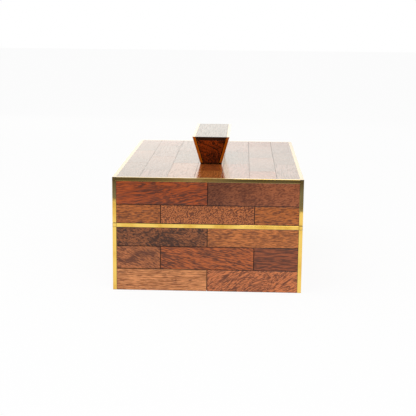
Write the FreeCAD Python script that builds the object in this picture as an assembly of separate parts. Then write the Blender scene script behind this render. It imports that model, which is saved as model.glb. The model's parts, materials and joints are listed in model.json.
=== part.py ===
# Parquetry box: short wooden fingers glued over a wooden carcass, every outer edge
# finished with a square brass bar, and a lift-off lid with a flared wood and brass handle.
# Millimetres. +Z is up, X runs across the short front, Y along the box, front at -Y.
# The origin is the centre of the underside.

import FreeCAD
import Part
import math
import os

# Overall plan of the box
box_width = 200.0
box_length = 300.0

# Brass bars and the finger skin between them, which is as thick as the bars
bar = 4.0
seam = 0.3

# Rows of fingers, from the table up, and the shadow line under the lid
foot_row = 23.7
full_row = 24.7
cut_row = 20.1
reveal = 0.4

# Fingers
finger_length = 98.5
shortest_finger = 12.0
edge_strip = 24.0
top_strip_count = 7

# Carcass under the fingers
core = 9.0
floor_thickness = 8.0
panel_thickness = 8.0
rebate = 4.5

# Liner that stands proud of the rim and keeps the lid in place
liner = 3.5
lip = 8.0
lip_chamfer = 1.5
lid_clearance = 0.5

# Handle
handle_height = 32.5
handle_foot_width = 24.0
handle_top_width = 41.5
handle_foot_length = 100.0
handle_top_length = 129.0
handle_plate = 3.0
handle_cap = 3.4

# Two countersunk screws that hold the handle from inside the lid
screw_spacing = 60.0
screw_radius = 2.0
screw_head_radius = 4.0
screw_bite = 18.0
screw_point = 4.0
screw_hole_clearance = 0.05
slot_width = 1.0
slot_depth = 1.0

# Heights that follow from the rows
rim_bottom = foot_row + full_row + cut_row
rim_top = rim_bottom + bar
lid_skin_bottom = rim_top + reveal
lid_edge_bottom = lid_skin_bottom + cut_row + full_row
lid_top = lid_edge_bottom + bar
panel_bottom = lid_edge_bottom - panel_thickness

# Plan sizes that follow from the skin
core_width = box_width - 2 * bar
core_length = box_length - 2 * bar

SIDES = ("front", "right", "back", "left")


def is_end(side):
    return side in ("front", "back")


def face_span(side, width, length):
    """Length of one side of a rectangle of that plan."""
    return width if is_end(side) else length


def polygon(points):
    wire = Part.makePolygon([FreeCAD.Vector(*p) for p in points + points[:1]])
    return Part.Face(wire)


def block(x0, x1, y0, y1, z0, z1):
    corner = FreeCAD.Vector(x0, y0, z0)
    return Part.makeBox(x1 - x0, y1 - y0, z1 - z0, corner)


def place(shape, side, width, length):
    """Moves a shape drawn against the line y = 0, with +Y going inwards, to a side of a plan."""
    reach = length / 2 if is_end(side) else width / 2
    shape = shape.copy()
    shape.translate(FreeCAD.Vector(0, -reach, 0))
    shape.rotate(FreeCAD.Vector(0, 0, 0), FreeCAD.Vector(0, 0, 1), SIDES.index(side) * 360 / len(SIDES))
    return shape


def mitred_board(side, width, length, profile):
    """A board along one side of a plan, mitred at both ends. The profile is (depth inwards, height)."""
    half = face_span(side, width, length) / 2
    depth = max(d for d, z in profile)
    low = min(z for d, z in profile)
    high = max(z for d, z in profile)
    section = polygon([(-half, d, z) for d, z in profile])
    board = section.extrude(FreeCAD.Vector(2 * half, 0, 0))
    plan = [(-half, 0, low), (half, 0, low), (half - depth, depth, low), (depth - half, depth, low)]
    mitre = polygon(plan).extrude(FreeCAD.Vector(0, 0, high - low))
    return place(board.common(mitre), side, width, length)


def frustum(foot, top, z0, z1):
    """A solid between two rectangles, each (x0, x1, y0, y1), at heights z0 and z1."""
    def ring(rect, z):
        x0, x1, y0, y1 = rect
        return [(x0, y0, z), (x1, y0, z), (x1, y1, z), (x0, y1, z)]
    low = ring(foot, z0)
    high = ring(top, z1)
    faces = [polygon(low), polygon(high)]
    for i in range(4):
        j = (i + 1) % 4
        faces.append(polygon([low[i], low[j], high[j], high[i]]))
    solid = Part.Solid(Part.Shell(faces))
    if solid.Volume < 0:
        solid.reverse()
    return solid


def finger_cuts(span, centre_joint):
    """Ends of the fingers along a row of that span, joints at the middle or half a finger off it."""
    phase = 0.0 if centre_joint else 0.5
    half = span / 2
    steps = math.ceil(half / finger_length)
    joints = [(k + phase) * finger_length for k in range(-steps - 1, steps + 1)]
    joints = [j for j in joints if abs(j) < half - shortest_finger]
    starts = [-half] + [j + seam / 2 for j in joints]
    ends = [j - seam / 2 for j in joints] + [half]
    return list(zip(starts, ends))


def row_of_fingers(side, z0, z1, centre_joint):
    """One row of skin fingers between the corner bars of a side."""
    span = face_span(side, core_width, core_length)
    fingers = [block(a, b, 0, bar, z0, z1) for a, b in finger_cuts(span, centre_joint)]
    return place(Part.Compound(fingers), side, box_width, box_length)


def skin_rows(prefix, bottom, heights, first_joint_centred):
    """Rows of fingers on all four sides, from the bottom row up, with a seam over all but the top row."""
    rows = {}
    for side in SIDES:
        z = bottom
        centred = first_joint_centred == is_end(side)
        for i, height in enumerate(heights):
            is_top = i == len(heights) - 1
            upper = z + height if is_top else z + height - seam
            rows[f"{prefix}_{side}_row_{i + 1}"] = row_of_fingers(side, z, upper, centred)
            z += height
            centred = not centred
    return rows


def corner_bars(z0, z1):
    """Four upright brass bars, one in each corner of the skin."""
    x, y = box_width / 2, box_length / 2
    bars = []
    for sx in (-1, 1):
        for sy in (-1, 1):
            low_x = min(sx * x, sx * (x - bar))
            low_y = min(sy * y, sy * (y - bar))
            bars.append(block(low_x, low_x + bar, low_y, low_y + bar, z0, z1))
    return Part.Compound(bars)


def edge_bar(side, z0, z1):
    """A level brass bar along a side: the long bars run through, the short ones fit between them."""
    half = box_width / 2 - bar if is_end(side) else box_length / 2
    return place(block(-half, half, 0, bar, z0, z1), side, box_width, box_length)


def base_walls():
    """Carcass walls, rebated along the foot for the floor."""
    profile = [(0, 0), (core - rebate, 0), (core - rebate, floor_thickness)]
    profile += [(core, floor_thickness), (core, rim_top), (0, rim_top)]
    return {f"base_{s}_wall": mitred_board(s, core_width, core_length, profile) for s in SIDES}


def lid_walls():
    """Lid walls, rebated along the top for the panel and a little thinner, to pass over the liner."""
    wall = core - lid_clearance
    ledge = wall - rebate
    profile = [(0, rim_top), (wall, rim_top), (wall, panel_bottom), (ledge, panel_bottom)]
    profile += [(ledge, lid_edge_bottom), (0, lid_edge_bottom)]
    return {f"lid_{s}_wall": mitred_board(s, core_width, core_length, profile) for s in SIDES}


def rebated_panel(shoulder, z0, z1):
    """A flat panel that fills the rebates of four walls, each leaving a shoulder outside it."""
    x = core_width / 2 - shoulder
    y = core_length / 2 - shoulder
    return block(-x, x, -y, y, z0, z1)


def liners():
    """Thin boards inside the carcass, standing a lip above the rim with the outer corner taken off."""
    width, length = core_width - 2 * core, core_length - 2 * core
    top = rim_top + lip
    profile = [(0, floor_thickness), (liner, floor_thickness), (liner, top)]
    profile += [(lip_chamfer, top), (0, top - lip_chamfer)]
    return {f"liner_{s}": mitred_board(s, width, length, profile) for s in SIDES}


def top_strips():
    """Rows of fingers on the lid, narrow ones at the two long edges, joints staggered row by row."""
    half = core_width / 2
    middle = (core_width - 2 * edge_strip) / (top_strip_count - 2)
    lines = [-half] + [-half + edge_strip + k * middle for k in range(top_strip_count - 1)] + [half]
    strips = {}
    for i in range(top_strip_count):
        x0 = lines[i] + (seam / 2 if i else 0)
        x1 = lines[i + 1] - (seam / 2 if i < top_strip_count - 1 else 0)
        cuts = finger_cuts(core_length, i % 2 == 1)
        fingers = [block(x0, x1, a, b, lid_edge_bottom, lid_top) for a, b in cuts]
        strips[f"lid_top_strip_{i + 1}"] = Part.Compound(fingers)
    return strips


def handle():
    """Flared wooden block under a thin cap, with a brass plate on each long side of both."""
    lean = (handle_top_width - handle_foot_width) / 2 / handle_height
    plate_width = handle_plate * math.hypot(1, lean)
    cap_bottom = handle_height - handle_cap

    def half_sizes(z):
        share = z / handle_height
        width = handle_foot_width + share * (handle_top_width - handle_foot_width)
        length = handle_foot_length + share * (handle_top_length - handle_foot_length)
        return width / 2, length / 2

    def wood(z):
        x, y = half_sizes(z)
        return plate_width - x, x - plate_width, -y, y

    def plate(z):
        x, y = half_sizes(z)
        return x - plate_width, x, -y, y

    def between(plan, z0, z1):
        return frustum(plan(z0), plan(z1), lid_top + z0, lid_top + z1)

    right = between(plate, 0, handle_height)
    left = right.rotated(FreeCAD.Vector(0, 0, 0), FreeCAD.Vector(0, 0, 1), 180)
    return {
        "handle_block": between(wood, 0, cap_bottom),
        "handle_cap": between(wood, cap_bottom, handle_height),
        "handle_plate_right": right,
        "handle_plate_left": left,
    }


def screw_profile(grow):
    """Half section of a countersunk screw, head down at the panel's underside, grown by a clearance."""
    neck = panel_bottom + screw_head_radius - screw_radius
    tip = lid_top + screw_bite
    shank = screw_radius + grow
    points = [(0, 0, panel_bottom), (screw_head_radius, 0, panel_bottom), (screw_radius, 0, neck)]
    if grow:
        points.append((shank, 0, neck))
    points += [(shank, 0, tip - screw_point), (0, 0, tip + grow)]
    return polygon(points)


def screws(grow=0.0, slotted=True):
    axis = FreeCAD.Vector(0, 0, 1)
    one = screw_profile(grow).revolve(FreeCAD.Vector(0, 0, 0), axis, 360)
    if slotted:
        reach = screw_head_radius
        slot = block(-reach, reach, -slot_width / 2, slot_width / 2, panel_bottom, panel_bottom + slot_depth)
        one = one.cut(slot)
    pair = []
    for y in (-screw_spacing / 2, screw_spacing / 2):
        pair.append(one.translated(FreeCAD.Vector(0, y, 0)))
    return Part.Compound(pair)


def all_pieces():
    pieces = {}
    pieces.update(base_walls())
    pieces["base_floor"] = rebated_panel(core - rebate, 0, floor_thickness)
    pieces.update(liners())
    pieces.update(skin_rows("base", 0, [foot_row, full_row, cut_row], True))
    pieces["base_corner_bars"] = corner_bars(0, rim_bottom)
    pieces.update({f"rim_bar_{s}": edge_bar(s, rim_bottom, rim_top) for s in SIDES})

    pieces.update(lid_walls())
    pieces["lid_panel"] = rebated_panel(core - lid_clearance - rebate, panel_bottom, lid_edge_bottom)
    pieces.update(skin_rows("lid", lid_skin_bottom, [cut_row, full_row], False))
    pieces["lid_corner_bars"] = corner_bars(lid_skin_bottom, lid_edge_bottom)
    pieces.update({f"lid_edge_bar_{s}": edge_bar(s, lid_edge_bottom, lid_top) for s in SIDES})
    pieces.update(top_strips())
    pieces.update(handle())
    pieces["handle_screws"] = screws()

    holes = screws(screw_hole_clearance, slotted=False)
    drilled = ["lid_panel", "handle_block"]
    drilled += [name for name in pieces if name.startswith("lid_top_strip")]
    for name in drilled:
        if pieces[name].BoundBox.intersect(holes.BoundBox):
            pieces[name] = pieces[name].cut(holes)
    return pieces


def main():
    os.makedirs("parts", exist_ok=True)
    for name, shape in all_pieces().items():
        shape.exportStep(f"parts/{name}.step")
        print(f"{name}: {len(shape.Solids)} solid(s), {shape.Volume / 1000:.2f} cm3, valid {shape.isValid()}")


main()
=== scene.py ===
import bmesh
import bpy
import json
import math
import random
from mathutils import Color, Matrix, Quaternion, Vector

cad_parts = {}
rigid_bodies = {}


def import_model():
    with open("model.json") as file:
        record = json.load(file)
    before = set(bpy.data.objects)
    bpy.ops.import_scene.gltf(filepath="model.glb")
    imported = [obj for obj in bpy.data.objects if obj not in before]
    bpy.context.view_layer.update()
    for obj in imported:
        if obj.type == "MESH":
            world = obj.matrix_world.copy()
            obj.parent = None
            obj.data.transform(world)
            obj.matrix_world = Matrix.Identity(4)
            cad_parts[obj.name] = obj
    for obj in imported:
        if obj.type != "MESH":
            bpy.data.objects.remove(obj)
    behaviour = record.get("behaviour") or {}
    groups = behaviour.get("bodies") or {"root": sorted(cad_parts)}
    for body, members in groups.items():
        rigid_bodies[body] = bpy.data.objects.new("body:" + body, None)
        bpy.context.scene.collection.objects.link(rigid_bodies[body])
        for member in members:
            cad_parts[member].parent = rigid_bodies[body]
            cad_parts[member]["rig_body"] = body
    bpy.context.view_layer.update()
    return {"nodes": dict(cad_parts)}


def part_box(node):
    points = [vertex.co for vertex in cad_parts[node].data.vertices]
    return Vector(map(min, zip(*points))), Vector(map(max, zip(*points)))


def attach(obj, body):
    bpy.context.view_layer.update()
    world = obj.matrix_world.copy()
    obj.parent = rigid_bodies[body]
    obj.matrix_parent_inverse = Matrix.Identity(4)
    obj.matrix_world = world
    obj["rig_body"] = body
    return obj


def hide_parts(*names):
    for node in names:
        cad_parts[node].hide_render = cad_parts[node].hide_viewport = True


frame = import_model()
scene = bpy.context.scene
scene.view_settings.view_transform = "Standard"
mm = 0.001
xAxis, yAxis, zAxis = range(3)
print("frame loaded,", len(frame["nodes"]), "nodes")


# small helpers for building shader trees

def wire(tree, source, socket):  # links a socket to another, or gives it a value
    if isinstance(source, bpy.types.NodeSocket):
        tree.links.new(source, socket)
    else:
        socket.default_value = source


def setSockets(node, values):
    for name, value in values.items():
        node.inputs[name].default_value = value


def calc(tree, operation, a, b=0.0, c=0.0):
    made = tree.nodes.new("ShaderNodeMath")
    made.operation = operation
    for socket, source in zip(made.inputs, (a, b, c)):
        wire(tree, source, socket)
    return made.outputs["Value"]


def vectorCalc(tree, operation, a, b):
    made = tree.nodes.new("ShaderNodeVectorMath")
    made.operation = operation
    for socket, source in zip(made.inputs, (a, b)):
        wire(tree, source, socket)
    return made.outputs["Value" if operation == "DOT_PRODUCT" else "Vector"]


def parts(tree, vector):
    made = tree.nodes.new("ShaderNodeSeparateXYZ")
    wire(tree, vector, made.inputs["Vector"])
    return tuple(made.outputs)


def joined(tree, x, y, z):
    made = tree.nodes.new("ShaderNodeCombineXYZ")
    for socket, source in zip(made.inputs, (x, y, z)):
        wire(tree, source, socket)
    return made.outputs["Vector"]


def noise(tree, place, layer, output="Fac"):  # a layer gives its scale on each axis, detail and rough
    made = tree.nodes.new("ShaderNodeTexNoise")
    wire(tree, vectorCalc(tree, "MULTIPLY", place, layer["scale"]), made.inputs["Vector"])
    setSockets(made, {"Scale": 1.0, "Detail": layer["detail"], "Roughness": layer["rough"]})
    return made.outputs[output]


def ease(tree, value, low, high):  # 0 below low, 1 above high, smooth between
    made = tree.nodes.new("ShaderNodeMapRange")
    made.interpolation_type = "SMOOTHSTEP"
    wire(tree, value, made.inputs["Value"])
    setSockets(made, {"From Min": low, "From Max": high})
    return made.outputs["Result"]


def mixColour(tree, factor, a, b, mode="MIX"):
    made = tree.nodes.new("ShaderNodeMix")
    made.data_type = "RGBA"
    made.blend_type = mode
    sockets = {socket.identifier: socket for socket in [*made.inputs, *made.outputs]}
    wire(tree, factor, sockets["Factor_Float"])
    wire(tree, a, sockets["A_Color"])
    wire(tree, b, sockets["B_Color"])
    return sockets["Result_Color"]


def attribute(tree, name, output="Vector"):
    made = tree.nodes.new("ShaderNodeAttribute")
    made.attribute_name = name
    return made.outputs[output]


def bump(tree, height, strength, depth):
    made = tree.nodes.new("ShaderNodeBump")
    wire(tree, height, made.inputs["Height"])
    setSockets(made, {"Strength": strength, "Distance": depth})
    return made.outputs["Normal"]


def newMaterial(name):
    made = bpy.data.materials.new(name)
    made.use_nodes = True
    return made, made.node_tree, made.node_tree.nodes["Principled BSDF"]


def linear(*levels):  # screen levels of red, green and blue, 0 to 255, to scene colour
    return *Color([level / 255 for level in levels]).from_srgb_to_scene_linear(), 1.0


# varnish: one clear coat over the wood, and thinly over the brass

varnish = {"Coat IOR": 1.42, "Coat Roughness": 0.13}

# wood: every finger and board carries its own grain coordinates, in mm along, across and through
# the grain, and its own light and dark tone, so one shader dresses them all

woodFinish = {
    # layers of noise: scales are per mm along, across and through the grain, or for the bands out from
    # the pith and along it, and gain is how far a layer swings the tone
    "wander": {"scale": (0.012, 0.055, 0.055), "detail": 2.0, "rough": 0.5},
    "bands": {"scale": (0.42, 0.008, 0.0), "detail": 3.0, "rough": 0.62, "gain": 2.6},
    "fibre": {"scale": (0.06, 0.8, 0.8), "detail": 5.0, "rough": 0.65, "gain": 2.2},
    "flecks": {"scale": (1.0, 1.05, 1.05), "detail": 1.5, "rough": 0.6, "gain": 4.0},  # along, times dash
    "mottle": {"scale": (0.045, 0.06, 0.06), "detail": 2.0, "rough": 0.5, "gain": 1.2},
    "pores": {"scale": (0.1, 0.8, 0.8), "detail": 3.0, "rough": 0.6},
    "middle": 0.5,  # of every noise, and of the tone from dark to light
    "poreRim": (0.57, 0.65),  # noise where a pore starts and where it is full
    "poreTone": (0.5, 0.45, 0.45, 1),  # share of the dark tone left in a pore
    "knotScale": (1 / 14, 1 / 9, 0.0),  # one over its mm along and across, and it goes right through
    "knotShade": -0.035,  # added to the tone for each mm of a knot's push
    "openFlecks": (0.38, 0.52),  # noise where the varnish is broken and where it is whole
    "fibreHeight": 0.3,  # against a pore's depth of 1
    "depth": 0.08 * mm,
    "relief": 0.35,
    "coatRelief": 0.9,
}


def woodMaterial(name, coat, roughness, specular, sink=0.0, bare=0.0):
    # sink is how far the varnish follows the flecks, bare how much of it the open ones lose
    look = woodFinish
    middle = look["middle"]
    made, tree, shader = newMaterial(name)
    grain = attribute(tree, "grain")
    light = attribute(tree, "woodLight", "Color")
    dark = attribute(tree, "woodDark", "Color")
    streak, pore, swirl = parts(tree, attribute(tree, "figure"))
    fineness, fleck, dash = parts(tree, attribute(tree, "detail"))
    knotAlong, knotAcross, knotPush = parts(tree, attribute(tree, "knot"))

    wander = noise(tree, grain, look["wander"], "Color")
    wander = vectorCalc(tree, "SUBTRACT", wander, (middle, middle, middle))
    wander = vectorCalc(tree, "MULTIPLY", wander, joined(tree, swirl, swirl, swirl))
    bent = vectorCalc(tree, "ADD", grain, wander)
    along, across, through = parts(tree, bent)

    # growth bands are rings round the pith, pushed outwards where there is a knot
    offKnot = vectorCalc(tree, "SUBTRACT", bent, joined(tree, knotAlong, knotAcross, 0.0))
    offKnot = vectorCalc(tree, "MULTIPLY", offKnot, look["knotScale"])
    knotSquare = vectorCalc(tree, "DOT_PRODUCT", offKnot, offKnot)
    bulge = calc(tree, "EXPONENT", calc(tree, "MULTIPLY", knotSquare, -1.0))
    push = calc(tree, "MULTIPLY", bulge, knotPush)
    fromPith = joined(tree, 0.0, across, through)
    radius = calc(tree, "SQRT", vectorCalc(tree, "DOT_PRODUCT", fromPith, fromPith))
    rings = calc(tree, "MULTIPLY", calc(tree, "ADD", radius, push), fineness)
    bands = noise(tree, joined(tree, rings, along, 0.0), look["bands"])

    fibre = noise(tree, bent, look["fibre"])
    flecks = noise(tree, vectorCalc(tree, "MULTIPLY", bent, joined(tree, dash, 1.0, 1.0)), look["flecks"])
    mottle = noise(tree, grain, look["mottle"])
    pores = ease(tree, noise(tree, bent, look["pores"]), *look["poreRim"])
    pores = calc(tree, "MULTIPLY", pores, pore)

    def swing(value, layer):
        return calc(tree, "MULTIPLY", calc(tree, "SUBTRACT", value, middle), look[layer]["gain"])

    tone = calc(tree, "MULTIPLY_ADD", swing(bands, "bands"), streak, middle)
    tone = calc(tree, "ADD", tone, swing(fibre, "fibre"))
    tone = calc(tree, "ADD", tone, swing(mottle, "mottle"))
    tone = calc(tree, "MULTIPLY_ADD", swing(flecks, "flecks"), fleck, tone)
    tone = calc(tree, "MULTIPLY_ADD", push, look["knotShade"], tone)
    tone.node.use_clamp = True
    poreColour = mixColour(tree, 1.0, dark, look["poreTone"], "MULTIPLY")
    colour = mixColour(tree, pores, mixColour(tree, tone, dark, light), poreColour)
    wire(tree, colour, shader.inputs["Base Color"])

    height = calc(tree, "SUBTRACT", calc(tree, "MULTIPLY", fibre, look["fibreHeight"]), pores)
    wire(tree, bump(tree, height, look["relief"], look["depth"]), shader.inputs["Normal"])
    setSockets(shader, {"Roughness": roughness, "Specular IOR Level": specular, "Coat Weight": coat,
                        **varnish})
    if coat:
        sunk = calc(tree, "MULTIPLY_ADD", flecks, sink, height)
        wire(tree, bump(tree, sunk, look["coatRelief"], look["depth"]), shader.inputs["Coat Normal"])
    if bare:
        whole = ease(tree, flecks, *look["openFlecks"])
        wire(tree, calc(tree, "MULTIPLY_ADD", whole, bare, coat - bare), shader.inputs["Coat Weight"])
    return made


# flecks are open on the lid's top and on the handle's cap, which is worn by hands too
varnishedWood = woodMaterial("varnishedWood", coat=1.0, roughness=0.4, specular=0.0, sink=0.5)
varnishedTop = woodMaterial("varnishedTop", coat=1.0, roughness=0.4, specular=0.0, sink=0.8, bare=0.14)
varnishedCap = woodMaterial("varnishedCap", coat=0.93, roughness=0.4, specular=0.0, sink=0.8, bare=0.14)
waxedWood = woodMaterial("waxedWood", coat=0.0, roughness=0.48, specular=0.3)

# brass: the faces of a piece are marked where they are eased or dirty edges, where they are dark (dirt in
# the joints and painted shade along the handle's foot), sanded or satin, and are polished where they have
# no mark

faceMarks = ("edge", "dirtAndShade", "sanded", "satin")
brassFinish = {
    "polished": linear(246, 206, 106),
    "tarnished": linear(222, 172, 70),
    "roughness": (0.04, 0.09),  # polished and tarnished
    "cloud": {"scale": (45.0, 45.0, 45.0), "detail": 4.0, "rough": 0.6},  # scales are per metre
    "cloudRim": (0.42, 0.75),  # noise where tarnish starts and where it is full
    "rub": {"scale": (900.0, 900.0, 60.0), "detail": 2.0, "rough": 0.5},
    "rubRelief": 0.05,
    "rubDepth": 0.02 * mm,
    "coat": 0.15,  # the varnish is rubbed thin here
    "dirtAndShade": linear(46, 30, 14),  # dirt in the joints, and painted shade along the handle's foot
    "sanded": linear(204, 170, 108),  # flush with the wood, under the full coat of varnish
    "sandedRough": 0.6,
    "satin": linear(255, 196, 60),  # the ends of the handle's plates, with no varnish
    "satinRough": 0.26,
}


def brassMaterial(name, look):
    made, tree, shader = newMaterial(name)
    place = tree.nodes.new("ShaderNodeTexCoord").outputs["Object"]
    edge, dirtAndShade, sanded, satin = (attribute(tree, mark, "Fac") for mark in faceMarks)
    unrubbed = calc(tree, "SUBTRACT", 1.0, edge)  # edges are rubbed bright
    tarnish = ease(tree, noise(tree, place, look["cloud"]), *look["cloudRim"])
    tarnish = calc(tree, "MULTIPLY", tarnish, unrubbed)
    metal = mixColour(tree, tarnish, look["polished"], look["tarnished"])
    metal = mixColour(tree, sanded, metal, look["sanded"])
    metal = mixColour(tree, satin, metal, look["satin"])
    # dark faces: dirt in the bar joints, and painted shade along the handle's foot
    wire(tree, mixColour(tree, dirtAndShade, metal, look["dirtAndShade"]), shader.inputs["Base Color"])
    smooth, dull = look["roughness"]
    rough = calc(tree, "MULTIPLY_ADD", tarnish, dull - smooth, smooth)
    rough = calc(tree, "MAXIMUM", rough, calc(tree, "MULTIPLY", sanded, look["sandedRough"]))
    rough = calc(tree, "MAXIMUM", rough, calc(tree, "MULTIPLY", satin, look["satinRough"]))
    wire(tree, rough, shader.inputs["Roughness"])
    thin = calc(tree, "MULTIPLY_ADD", satin, -look["coat"], look["coat"])
    wire(tree, calc(tree, "MAXIMUM", thin, sanded), shader.inputs["Coat Weight"])
    rub = noise(tree, place, look["rub"])
    wire(tree, bump(tree, rub, look["rubRelief"], look["rubDepth"]), shader.inputs["Normal"])
    setSockets(shader, {"Metallic": 1.0, **varnish})
    return made


brass = brassMaterial("brass", brassFinish)
print("materials made")

# pieces: copies of the CAD solids with their sharp edges eased, one for each node

shaping = {
    "weld": 0.01 * mm,  # points this close together are one
    "flat": 0.02,  # faces that turn by less than this, in radians, are one
    "sharp": 0.3,  # edges that turn by more than this, in radians, are eased
    "shortest": 2.5 * mm,  # but none that is shorter than this
    "segments": 2,
    "profile": 0.6,
    "lengthwise": 0.9,  # least share of an edge's direction that lies along its axis
    "facing": 0.7,  # least share of a face's normal that lies along its axis
    "endFacing": 0.25,  # and of a bar's end with its easing
    "cutSlack": 1e-7,  # metres, where a foot is cut off for its dirt
}


def markFaces(solid, faces, *marks):
    for mark in marks:
        layer = solid.faces.layers.int[mark]
        for face in faces:
            face[layer] = 1


def easedSolid(node, easing, only=None, fill=(0, 0)):
    # only keeps the easing to edges along one axis, and fill is how far glue fills the seams on the
    # solid's left and right
    solid = bmesh.new()
    solid.from_mesh(frame["nodes"][node].data)
    bmesh.ops.remove_doubles(solid, verts=solid.verts, dist=shaping["weld"])
    bmesh.ops.dissolve_limit(solid, angle_limit=shaping["flat"], verts=solid.verts, edges=solid.edges)
    for mark in faceMarks:
        solid.faces.layers.int.new(mark)
    left, right = (corner[xAxis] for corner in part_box(node))
    for vert in solid.verts:
        if vert.co.x < left + shaping["weld"]:
            vert.co.x -= fill[0]
        elif vert.co.x > right - shaping["weld"]:
            vert.co.x += fill[1]
    sharp = [e for e in solid.edges
             if e.calc_length() > shaping["shortest"] and e.calc_face_angle(0) > shaping["sharp"]]
    if only is not None:
        runs = [(e, (e.verts[0].co - e.verts[1].co).normalized()) for e in sharp]
        sharp = [e for e, run in runs if abs(run[only]) > shaping["lengthwise"]]
    rounded = bmesh.ops.bevel(solid, geom=sharp, offset=easing, segments=shaping["segments"],
                              profile=shaping["profile"], affect="EDGES", clamp_overlap=True)
    markFaces(solid, rounded["faces"], "edge")
    bmesh.ops.recalc_face_normals(solid, faces=solid.faces)
    return solid


def dirtyEnds(solid, axis, hidden):  # a bar's eased ends hold dirt, and hidden ends are all dirt
    edge = solid.faces.layers.int["edge"]
    ends = [f for f in solid.faces if abs(f.normal[axis]) > shaping["endFacing"] and (f[edge] or hidden)]
    markFaces(solid, ends, "edge", "dirtAndShade")


def paintFootShade(solid, node, height):  # painted shade in the corner along the bottom, where the piece stands on the lid
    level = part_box(node)[0][zAxis] + height
    bmesh.ops.bisect_plane(solid, geom=solid.verts[:] + solid.edges[:] + solid.faces[:],
                           dist=shaping["cutSlack"], plane_co=(0, 0, level), plane_no=(0, 0, 1))
    # the cut leaves the faces in a different order each run, so they are sorted by their points
    solid.verts.index_update()
    ordered = sorted(solid.faces, key=lambda face: sorted(v.index for v in face.verts))
    rank = {face: order for order, face in enumerate(ordered)}
    solid.faces.sort(key=rank.get)
    markFaces(solid, [f for f in solid.faces if f.calc_center_median().z < level], "edge", "dirtAndShade")


def finishFaces(solid, finishes):  # an axis and the finish of the faces across it, in pairs
    for axis, finish in finishes:
        markFaces(solid, [f for f in solid.faces if abs(f.normal[axis]) > shaping["facing"]], finish)


def addPiece(solid, node, material):
    mesh = bpy.data.meshes.new(node + "_eased")
    solid.to_mesh(mesh)
    solid.free()
    mesh.materials.append(material)
    piece = bpy.data.objects.new(node + "_eased", mesh)
    scene.collection.objects.link(piece)
    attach(piece, frame["nodes"][node]["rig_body"])
    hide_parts(node)
    return piece


# woods: tones are light and dark, pith is where the tree's centre lies across and through the board in
# mm, lean is how fast it drifts along the board, tilt turns the grain on the face in degrees, bow bends
# it down from the near end in mm, swirl is how many mm it wanders, streak and fine are how strong and
# how close the bands are, pore is how strong its pores are, fleck and dash are how strong and how short
# its flecks are, fade lightens the far end, a rise paints shade that lightens the top and darkens the
# bottom, end is how dark its end grain is, and a knot is (mm along, mm across, push in mm) from the
# middle of the face

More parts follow.
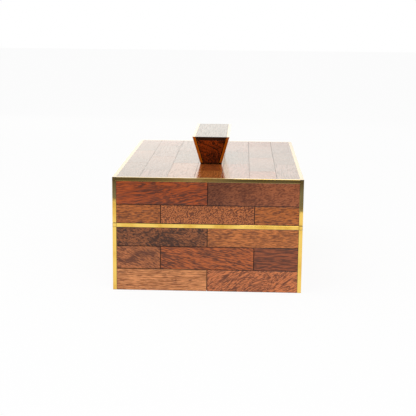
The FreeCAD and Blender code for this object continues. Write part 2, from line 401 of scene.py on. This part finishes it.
woods = {
    "tan": {"light": (222, 148, 92), "dark": (152, 90, 48), "pith": (70, 10), "lean": 0.03, "tilt": 1,
            "streak": 0.7, "pore": 0.9, "swirl": 5, "fine": 2.0, "fleck": 0.68, "dash": 0.12},
    "amber": {"light": (184, 103, 44), "dark": (114, 60, 25), "pith": (60, 30), "lean": 0.06, "tilt": 2,
              "streak": 0.45, "pore": 0.8, "swirl": 6, "fine": 2.0, "fleck": 1.2, "dash": 0.2},
    "honey": {"light": (201, 118, 57), "dark": (127, 70, 33), "pith": (55, 34), "lean": 0.06, "tilt": 2,
              "streak": 0.38, "pore": 0.7, "swirl": 6, "fine": 2.0, "fleck": 1.0, "dash": 0.19},
    "russet": {"light": (170, 78, 30), "dark": (94, 49, 30), "pith": (34, 14), "lean": 0.1, "tilt": 3,
               "streak": 0.9, "pore": 0.4, "swirl": 12, "fine": 1.4, "fleck": 1.06, "dash": 0.07,
               "bow": -8},
    "umber": {"light": (152, 88, 54), "dark": (96, 52, 32), "pith": (12, 55), "lean": 0.3, "tilt": 14,
              "streak": 0.5, "pore": 0.2, "swirl": 10, "fine": 1.0, "fleck": 0.71, "dash": 0.22,
              "fade": 0.3},
    "chestnut": {"light": (191, 110, 57), "dark": (105, 55, 28), "pith": (20, 45), "lean": 0.12, "tilt": 4,
                 "streak": 0.5, "pore": 0.5, "swirl": 8, "fine": 1.0, "fleck": 3.22, "dash": 0.8},
    "walnut": {"light": (150, 86, 46), "dark": (64, 34, 18), "pith": (14, 30), "lean": 0.3, "tilt": -10,
               "streak": 1.0, "pore": 0.4, "swirl": 14, "fine": 1.0, "fleck": 1.05, "dash": 0.2,
               "knot": (8, -2, 7)},
    "cocoa": {"light": (152, 78, 42), "dark": (88, 46, 28), "pith": (46, 20), "lean": 0.05, "tilt": 0,
              "streak": 1.0, "pore": 0.4, "swirl": 6, "fine": 1.2, "fleck": 1.42, "dash": 0.07},
    "copper": {"light": (186, 95, 42), "dark": (90, 46, 25), "pith": (30, 22), "lean": 0.05, "tilt": 0,
               "streak": 0.9, "pore": 0.6, "swirl": 8, "fine": 1.5, "fleck": 1.22, "dash": 0.12,
               "bow": 26},
    "hazel": {"light": (186, 110, 62), "dark": (100, 54, 32), "pith": (12, 26), "lean": 0.2, "tilt": -24,
              "streak": 0.85, "pore": 0.35, "swirl": 14, "fine": 1.1, "fleck": 0.84, "dash": 0.16,
              "knot": (4, 3, 5), "fade": -0.12},
    "ginger": {"light": (208, 121, 70), "dark": (114, 62, 37), "pith": (16, 34), "lean": 0.22, "tilt": 30,
               "streak": 0.75, "pore": 0.5, "swirl": 20, "fine": 1.5, "fleck": 1.39, "dash": 0.11},
    # the handle's wood carries painted shade, lighter towards the top and darker towards the bottom
    "handle": {"light": (144, 56, 11), "dark": (28, 7, 2), "pith": (20, 26), "lean": 0.1, "tilt": 0,
               "streak": 1.1, "pore": 0.3, "swirl": 16, "fine": 0.9, "fleck": 0.8, "dash": 0.3,
               "paintedShadeRise": 0.26},
    "cap": {"light": (112, 62, 34), "dark": (70, 36, 18), "pith": (40, 30), "lean": 0.04, "tilt": 0,
            "streak": 0.6, "pore": 0.4, "swirl": 5, "fine": 1.2, "fleck": 0.6, "dash": 0.14, "end": 0.27},
    "carcass": {"light": (160, 104, 64), "dark": (116, 70, 40), "pith": (30, 60), "lean": 0.08, "tilt": 0,
                "streak": 0.6, "pore": 0.4, "swirl": 8, "fine": 1.0, "fleck": 0.6, "dash": 0.12},
    "liner": {"light": (164, 94, 54), "dark": (118, 62, 34), "pith": (50, 20), "lean": 0.05, "tilt": 0,
              "streak": 0.6, "pore": 0.5, "swirl": 6, "fine": 1.0, "fleck": 0.6, "dash": 0.12},
}
cutting = {
    "slide": (-400, 400),  # mm along the tree that a board is cut from
    "pithShare": (0.85, 1.15),  # how far the pith's place varies from board to board
    "endFacing": 0.9,  # least share of an end face's normal that lies along the board
}
grainKinds = {"grain": "FLOAT_VECTOR", "woodLight": "FLOAT_COLOR", "woodDark": "FLOAT_COLOR",
              "figure": "FLOAT_VECTOR", "detail": "FLOAT_VECTOR", "knot": "FLOAT_VECTOR"}


def islands(mesh):  # lists of vertex indices, one for each loose solid
    neighbours = {v.index: [] for v in mesh.vertices}
    for edge in mesh.edges:
        a, b = edge.vertices
        neighbours[a].append(b)
        neighbours[b].append(a)
    left = set(neighbours)
    found = []
    while left:
        stack = [left.pop()]
        group = []
        while stack:
            here = stack.pop()
            group.append(here)
            for other in neighbours[here]:
                if other in left:
                    left.remove(other)
                    stack.append(other)
        found.append(group)
    return found


def narrowed(light, dark, share):  # both tones, with only a share of the range between them
    middle = [(a + b) / 2 for a, b in zip(light, dark)]
    return [[m + (c - m) * share for c, m in zip(tone, middle)] for tone in (light, dark)]


def shaded(colour, shade):
    return [c * shade for c in colour[:3]] + [1]


def layGrain(piece, along, across, chosen, dealer, stainAndShade=1.0, spread=1.0, stretch=1.0):
    # chosen names a wood for each solid of the piece, in order along the grain, the stain is the tone of
    # its eased edges, glue and dust in the finger seams and painted shade on the handle's block, spread is
    # the share kept of the range from light to dark, and stretch lengthens its flecks
    mesh = piece.data
    through = ({xAxis, yAxis, zAxis} - {along, across}).pop()
    axes = (along, across, through)
    for name, kind in grainKinds.items():
        mesh.attributes.new(name, kind, "CORNER")
    grain, light, dark, figure, detail, knot = (mesh.attributes[name].data for name in grainKinds)
    edge = mesh.attributes["edge"].data
    groups = islands(mesh)
    groups.sort(key=lambda group: min(mesh.vertices[i].co[along] for i in group))
    groupOf = {i: order for order, group in enumerate(groups) for i in group}
    for order, (group, name) in enumerate(zip(groups, chosen)):
        wood = woods[name]
        points = [mesh.vertices[i].co for i in group]
        low = [min(p[k] for p in points) for k in axes]
        high = [max(p[k] for p in points) for k in axes]
        centre = [(a + b) / 2 for a, b in zip(low, high)]
        halfLong = (high[0] - low[0]) / 2 / mm
        halfThick = (high[2] - low[2]) / 2 / mm
        slide = dealer.uniform(*cutting["slide"])
        pithAcross = dealer.choice((-1, 1)) * wood["pith"][0] * dealer.uniform(*cutting["pithShare"])
        pithThrough = wood["pith"][1] * dealer.uniform(*cutting["pithShare"])
        turn = math.radians(wood["tilt"])
        knotAlong, knotAcross, knotPush = wood.get("knot", (0, 0, 0))
        pale, deep = narrowed(linear(*wood["light"]), linear(*wood["dark"]), spread)
        for polygon in mesh.polygons:
            if groupOf[polygon.vertices[0]] != order:
                continue
            isEnd = abs(polygon.normal[along]) > cutting["endFacing"]
            tone = wood.get("end", 1) if isEnd else 1
            # eased edges darken: glue and dust in the finger seams, painted shade on the handle's block
            if edge[polygon.index].value:
                tone *= stainAndShade
            for corner in polygon.loop_indices:
                point = mesh.vertices[mesh.loops[corner].vertex_index].co
                u, v, w = ((point[k] - c) / mm for k, c in zip(axes, centre))
                nearEnd = (halfLong - u) / (2 * halfLong)
                grainAlong = u * math.cos(turn) + v * math.sin(turn) + slide
                grainAcross = v * math.cos(turn) - u * math.sin(turn) + pithAcross
                grainAcross -= wood.get("bow", 0) * nearEnd ** 2
                grainThrough = w + pithThrough + u * wood["lean"]
                grain[corner].vector = (grainAlong, grainAcross, grainThrough)
                knot[corner].vector = (knotAlong + slide, knotAcross + pithAcross, knotPush)
                figure[corner].vector = (wood["streak"], wood["pore"] * spread, wood["swirl"])
                detail[corner].vector = (wood["fine"], wood["fleck"], wood["dash"] / stretch)
                shade = tone * (1 + wood.get("fade", 0) * u / halfLong)
                # painted shade: lighter towards the top and darker towards the bottom
                shade *= 1 + wood.get("paintedShadeRise", 0) * w / halfThick
                light[corner].color = shaded(pale, shade)
                dark[corner].color = shaded(deep, shade)


# fingers: woods chosen from left to right on the front and from front to back on top, the rest dealt out

fingerSkin = {
    "rowEasing": 0.32 * mm,
    "rowStain": 0.14,
    "stripEasing": 0.14 * mm,
    "stripStain": 0.4,
    "stripSpread": 0.45,
    "stripStretch": 4.0,
    "seamFill": [f * mm for f in (0, 0.075, 0.075, 0.06, 0.06, 0.045, 0.045, 0)],  # by each seam
    "dealt": ("tan", "amber", "russet", "umber", "chestnut", "walnut", "cocoa", "copper", "hazel",
              "ginger"),
    "most": 4,  # fingers in one row
    "seed": 11,
    "chosen": {
        "lid_front_row_2": ("russet", "umber"),
        "lid_front_row_1": ("amber", "chestnut", "amber"),
        "base_front_row_3": ("walnut", "honey"),
        "base_front_row_2": ("hazel", "copper", "cocoa"),
        "base_front_row_1": ("tan", "ginger"),
        "lid_top_strip_1": ("walnut", "umber", "umber"),
        "lid_top_strip_2": ("cocoa", "umber", "cocoa", "russet"),
        "lid_top_strip_3": ("amber", "walnut", "cocoa"),
        "lid_top_strip_4": ("honey", "copper", "russet", "umber"),
        "lid_top_strip_5": ("russet", "walnut", "russet"),
        "lid_top_strip_6": ("copper", "umber", "umber", "copper"),
        "lid_top_strip_7": ("cocoa", "walnut", "umber"),
    },
}
dealer = random.Random(fingerSkin["seed"])
rowNames = [n for n in sorted(frame["nodes"]) if "_row_" in n]
stripNames = [n for n in sorted(frame["nodes"]) if "_strip_" in n]
for name in rowNames:
    piece = addPiece(easedSolid(name, fingerSkin["rowEasing"]), name, varnishedWood)
    along = xAxis if "_front_" in name or "_back_" in name else yAxis
    dealt = dealer.sample(fingerSkin["dealt"], fingerSkin["most"])
    chosen = fingerSkin["chosen"].get(name, dealt)
    layGrain(piece, along, zAxis, chosen, dealer, stainAndShade=fingerSkin["rowStain"])
for order, name in enumerate(stripNames):
    fill = fingerSkin["seamFill"][order:order + 2]
    solid = easedSolid(name, fingerSkin["stripEasing"], only=yAxis, fill=fill)
    piece = addPiece(solid, name, varnishedTop)
    layGrain(piece, yAxis, xAxis, fingerSkin["chosen"][name], dealer, stainAndShade=fingerSkin["stripStain"],
             spread=fingerSkin["stripSpread"], stretch=fingerSkin["stripStretch"])
print("fingers laid:", len(rowNames), "rows and", len(stripNames), "strips")

# boards of the carcass, plain inside the box

boards = {"easing": 0.3 * mm}
boardNames = [n for n in sorted(frame["nodes"])
              if n.endswith(("_wall", "_floor", "_panel")) or n.startswith("liner_")]
for name in boardNames:
    isLiner = name.startswith("liner_")
    isPanel = name.endswith(("_floor", "_panel"))
    piece = addPiece(easedSolid(name, boards["easing"]), name, waxedWood)
    along = xAxis if "front" in name or "back" in name else yAxis
    across = xAxis if isPanel else zAxis
    layGrain(piece, along, across, ("liner" if isLiner else "carcass",), dealer)
print("boards laid:", len(boardNames))

# brass bars along the edges: the upright ones' ends lie hidden against the level ones

bars = {"easing": 0.16 * mm, "lidFinishes": ((zAxis, "sanded"),)}
barNames = [n for n in sorted(frame["nodes"]) if "_bar" in n]
for name in barNames:
    isUpright = "corner" in name
    lies = zAxis if isUpright else xAxis if name.endswith(("front", "back")) else yAxis
    solid = easedSolid(name, bars["easing"])
    dirtyEnds(solid, lies, hidden=isUpright)
    if "lid_edge" in name:
        finishFaces(solid, bars["lidFinishes"])
    addPiece(solid, name, brass)
print("bars fitted:", len(barNames))

# handle: a block with a cap, between two brass plates

handle = {
    "blockEasing": 0.9 * mm,
    "capEasing": 0.25 * mm,
    "plateEasing": 0.2 * mm,
    # tone of the block's eased edges: painted shade along its foot and in the seams beside the plates
    "blockEdgeShade": 0.1,
    "capStretch": 4.0,
    "foot": 1.3 * mm,  # height of the band of painted shade along the lid
    "plateFinishes": ((zAxis, "sanded"), (yAxis, "satin")),
}
solid = easedSolid("handle_block", handle["blockEasing"])
# a band of painted shade along the block's foot, where it stands on the lid
paintFootShade(solid, "handle_block", handle["foot"])
block = addPiece(solid, "handle_block", varnishedWood)
layGrain(block, yAxis, xAxis, ("handle",), dealer, stainAndShade=handle["blockEdgeShade"])
cap = addPiece(easedSolid("handle_cap", handle["capEasing"]), "handle_cap", varnishedCap)
layGrain(cap, yAxis, xAxis, ("cap",), dealer, stretch=handle["capStretch"])
for name in ("handle_plate_left", "handle_plate_right"):
    solid = easedSolid(name, handle["plateEasing"])
    finishFaces(solid, handle["plateFinishes"])
    # and a band of painted shade along each plate's foot
    paintFootShade(solid, name, handle["foot"])
    addPiece(solid, name, brass)
screws = frame["nodes"]["handle_screws"]
screws.data.materials.clear()
screws.data.materials.append(brass)
print("handle fitted")

# stage: pale floor, white surroundings and a dim flag that lies in front, seen only in gloss

stage = {
    "floorSize": 12.0,
    "floorDrop": 0.2 * mm,
    "floorColour": (0.96, 0.96, 0.96, 1),
    "floorRough": 0.9,
    "glow": 0.92,  # share of the floor that reads as plain white to the camera and to gloss
    "roomLight": 0.62,
    "flagEdge": ((-0.167, -0.65), (0.124, -0.58)),
    "flagReach": 3.0,
    "flagLift": 0.2 * mm,
    "flagColour": (0.112, 0.112, 0.16, 1),
    "flagGlow": (0.28, 0.265, 0.4, 1),  # of its paler middle
    "flagMiddle": (-0.05, 0.09),  # where that is along X, and how far it fades out
    "flagNearColour": (0.2, 0.23, 0.42, 1),
    "flagNear": (-0.86, -0.7),  # it turns to that between these, along Y
}


def seenOrMirrored(tree):  # 1 for camera, glossy and transmission rays
    path = tree.nodes.new("ShaderNodeLightPath").outputs
    either = calc(tree, "MAXIMUM", path["Is Camera Ray"], path["Is Glossy Ray"])
    return calc(tree, "MAXIMUM", either, path["Is Transmission Ray"])


def addPlane(name, outline, height):
    mesh = bpy.data.meshes.new(name)
    mesh.from_pydata([(x, y, height) for x, y in outline], [], [range(len(outline))])
    plane = bpy.data.objects.new(name, mesh)
    scene.collection.objects.link(plane)
    return plane


def makeFloor():
    h = stage["floorSize"] / 2
    floor = addPlane("floor", [(-h, -h), (h, -h), (h, h), (-h, h)], -stage["floorDrop"])
    made, tree, shader = newMaterial("paleFloor")
    setSockets(shader, {"Base Color": stage["floorColour"], "Roughness": stage["floorRough"],
                        "Specular IOR Level": 0.0})
    glow = tree.nodes.new("ShaderNodeEmission")
    mix = tree.nodes.new("ShaderNodeMixShader")
    share = calc(tree, "MULTIPLY", seenOrMirrored(tree), stage["glow"])
    for socket, source in zip(mix.inputs, (share, shader.outputs["BSDF"], glow.outputs["Emission"])):
        wire(tree, source, socket)
    wire(tree, mix.outputs["Shader"], tree.nodes["Material Output"].inputs["Surface"])
    floor.data.materials.append(made)


def makeFlag():
    (x0, y0), (x1, y1) = stage["flagEdge"]
    slope = (y1 - y0) / (x1 - x0)
    reach = stage["flagReach"]
    near = [(x, y0 + slope * (x - x0)) for x in (-reach, reach)]
    far = [(x, y - reach) for x, y in reversed(near)]
    flag = addPlane("flag", near + far, stage["flagLift"])
    made, tree, shader = newMaterial("dimFlag")
    tree.nodes.remove(shader)
    glow = tree.nodes.new("ShaderNodeEmission")
    middle, fadeOut = stage["flagMiddle"]
    placeX, placeY = parts(tree, tree.nodes.new("ShaderNodeTexCoord").outputs["Object"])[:2]
    away = calc(tree, "ABSOLUTE", calc(tree, "SUBTRACT", placeX, middle))
    inMiddle = calc(tree, "SUBTRACT", 1.0, ease(tree, away, 0.0, fadeOut))
    nearness = ease(tree, placeY, *stage["flagNear"])
    dim = mixColour(tree, nearness, stage["flagColour"], stage["flagNearColour"])
    wire(tree, mixColour(tree, inMiddle, dim, stage["flagGlow"]), glow.inputs["Color"])
    wire(tree, glow.outputs["Emission"], tree.nodes["Material Output"].inputs["Surface"])
    flag.data.materials.append(made)
    flag.visible_camera = False
    flag.visible_diffuse = False
    flag.visible_shadow = False


def makeWorld():
    world = bpy.data.worlds.new("whiteRoom")
    scene.world = world
    world.use_nodes = True
    tree = world.node_tree
    back = tree.nodes["Background"]
    setSockets(back, {"Color": (1, 1, 1, 1)})
    gain = 1.0 - stage["roomLight"]
    strength = calc(tree, "MULTIPLY_ADD", seenOrMirrored(tree), gain, stage["roomLight"])
    wire(tree, strength, back.inputs["Strength"])


makeFloor()
makeFlag()
makeWorld()

# lamps, all soft boxes: size in metres, power in watts, roll in degrees

lamps = {
    "overhead": {"at": (-0.45, -0.35, 1.25), "aim": (0, 0, 0.08), "size": (0.9, 0.9), "power": 5.0},
    "frontFill": {"at": (0.5, -1.7, 0.75), "aim": (0, -0.1, 0.06), "size": (1.0, 0.7), "power": 7.0},
    "lidSheen": {"at": (0.0, 1.5, 0.456), "aim": (0, 0, 0.12), "size": (1.8, 0.36), "power": 1.5,
                 "colour": (1, 0.99, 0.84), "roll": -11},
}
for name, look in lamps.items():
    lamp = bpy.data.lights.new(name, "AREA")
    lamp.shape = "RECTANGLE"
    lamp.size, lamp.size_y = look["size"]
    lamp.energy = look["power"]
    lamp.color = look.get("colour", (1, 1, 1))
    box = bpy.data.objects.new(name, lamp)
    box.location = look["at"]
    facing = (Vector(look["aim"]) - Vector(look["at"])).to_track_quat("-Z", "Y")
    roll = Quaternion((0, 0, 1), math.radians(look.get("roll", 0)))
    box.rotation_euler = (facing @ roll).to_euler()
    box.visible_camera = False
    scene.collection.objects.link(box)
print("stage and lamps set")

# camera: where the photograph was taken from, in metres and degrees, with lens and sensor in mm

view = {
    "at": (0.03604, -1.17224, 0.29583),
    "turn": 1.99,
    "down": 11.358,
    "roll": 0.571,
    "lens": 86.302,
    "sensor": 36.0,
    "clip": 0.01,
}


def makeCamera():
    turn, down, roll = (math.radians(view[k]) for k in ("turn", "down", "roll"))
    ahead = Vector((-math.sin(turn) * math.cos(down), math.cos(turn) * math.cos(down), -math.sin(down)))
    level = Vector((math.cos(turn), math.sin(turn), 0))
    up = level.cross(ahead)
    right = math.cos(roll) * level + math.sin(roll) * up
    upright = math.cos(roll) * up - math.sin(roll) * level
    axes = Matrix((right, upright, -ahead)).transposed()
    data = bpy.data.cameras.new("camera")
    data.sensor_width = view["sensor"]
    data.lens = view["lens"]
    data.clip_start = view["clip"]
    camera = bpy.data.objects.new("camera", data)
    camera.matrix_world = Matrix.Translation(view["at"]) @ axes.to_4x4()
    scene.collection.objects.link(camera)
    scene.camera = camera


makeCamera()
print("camera placed")
